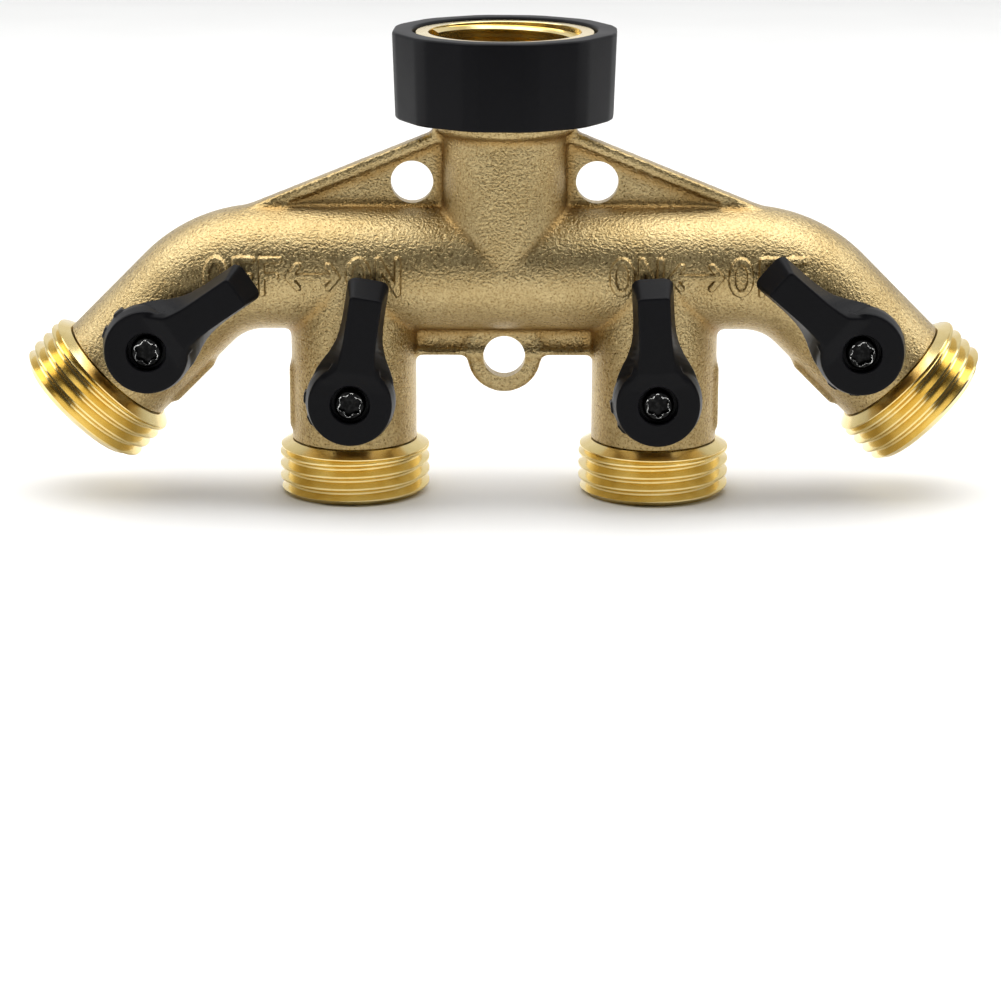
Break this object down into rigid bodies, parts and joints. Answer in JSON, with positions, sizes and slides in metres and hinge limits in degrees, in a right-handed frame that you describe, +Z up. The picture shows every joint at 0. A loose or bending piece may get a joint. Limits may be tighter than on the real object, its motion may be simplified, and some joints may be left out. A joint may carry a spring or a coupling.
{
  "type": "hose splitter",
  "caption": "Brass garden hose splitter with a swivel inlet collar on top, threaded outlets below, a ball valve and black lever on each outlet, and webs with mounting holes.",
  "frame": {"origin": "on the inlet's axis, in the plane of the two inner outlets' rims, which is the centre of the bounding box's base", "axes": "+Z up along the inlet's axis, +X along the manifold to the right as seen from the levers' side, +Y to the back, so the levers face -Y"},
  "size_m": [0.1702, 0.0388, 0.0831],
  "materials": {
    "cast_brass": "shot-blasted casting, satin",
    "machined_brass": "machined and polished",
    "chromed_ball": "polished",
    "spring_steel": "satin",
    "screw_steel": "blackened",
    "lever_plastic": "moulded, satin",
    "grip_plastic": "moulded, satin",
    "white_ptfe": "plain",
    "black_rubber": "plain",
    "washer_rubber": "plain"
  },
  "bodies": {
    "root": {"body_casting": "cast_brass", "retaining_ring": "spring_steel", "swivel_o_ring": "black_rubber", "outlet_nipple_outer_left": "machined_brass", "nipple_o_ring_outer_left": "black_rubber", "ball_seat_upstream_outer_left": "white_ptfe", "ball_seat_downstream_outer_left": "white_ptfe", "outlet_nipple_inner_left": "machined_brass", "nipple_o_ring_inner_left": "black_rubber", "ball_seat_upstream_inner_left": "white_ptfe", "ball_seat_downstream_inner_left": "white_ptfe", "outlet_nipple_inner_right": "machined_brass", "nipple_o_ring_inner_right": "black_rubber", "ball_seat_upstream_inner_right": "white_ptfe", "ball_seat_downstream_inner_right": "white_ptfe", "outlet_nipple_outer_right": "machined_brass", "nipple_o_ring_outer_right": "black_rubber", "ball_seat_upstream_outer_right": "white_ptfe", "ball_seat_downstream_outer_right": "white_ptfe"},
    "valve_outer_left": {"lever_handle_outer_left": "lever_plastic", "lever_screw_outer_left": "screw_steel", "valve_stem_outer_left": "machined_brass", "valve_ball_outer_left": "chromed_ball", "stem_washer_outer_left": "white_ptfe", "stem_o_ring_outer_left": "black_rubber"},
    "valve_inner_left": {"lever_handle_inner_left": "lever_plastic", "lever_screw_inner_left": "screw_steel", "valve_stem_inner_left": "machined_brass", "valve_ball_inner_left": "chromed_ball", "stem_washer_inner_left": "white_ptfe", "stem_o_ring_inner_left": "black_rubber"},
    "valve_inner_right": {"lever_handle_inner_right": "lever_plastic", "lever_screw_inner_right": "screw_steel", "valve_stem_inner_right": "machined_brass", "valve_ball_inner_right": "chromed_ball", "stem_washer_inner_right": "white_ptfe", "stem_o_ring_inner_right": "black_rubber"},
    "valve_outer_right": {"lever_handle_outer_right": "lever_plastic", "lever_screw_outer_right": "screw_steel", "valve_stem_outer_right": "machined_brass", "valve_ball_outer_right": "chromed_ball", "stem_washer_outer_right": "white_ptfe", "stem_o_ring_outer_right": "black_rubber"},
    "swivel": {"swivel_nut": "machined_brass", "collar_grip": "grip_plastic", "inlet_washer": "washer_rubber"}
  },
  "joints": [
    {"name": "lever_outer_left", "type": "hinge", "parent": "root", "child": "valve_outer_left", "pos_m": [-0.06222, -0.0135, 0.02921], "axis": [0, -1, 0], "range_deg": [0, 100.4]},
    {"name": "lever_inner_left", "type": "hinge", "parent": "root", "child": "valve_inner_left", "pos_m": [-0.0269, -0.0135, 0.01985], "axis": [0, -1, 0], "range_deg": [0, 99]},
    {"name": "lever_inner_right", "type": "hinge", "parent": "root", "child": "valve_inner_right", "pos_m": [0.0269, -0.0135, 0.01985], "axis": [0, -1, 0], "range_deg": [-93.2, 5.8]},
    {"name": "lever_outer_right", "type": "hinge", "parent": "root", "child": "valve_outer_right", "pos_m": [0.06222, -0.0135, 0.02921], "axis": [0, -1, 0], "range_deg": [-94.1, 4.9]},
    {"name": "inlet_swivel", "type": "hinge", "parent": "root", "child": "swivel", "pos_m": [0, 0, 0.0753], "axis": [0, 0, 1], "continuous": true}
  ]
}
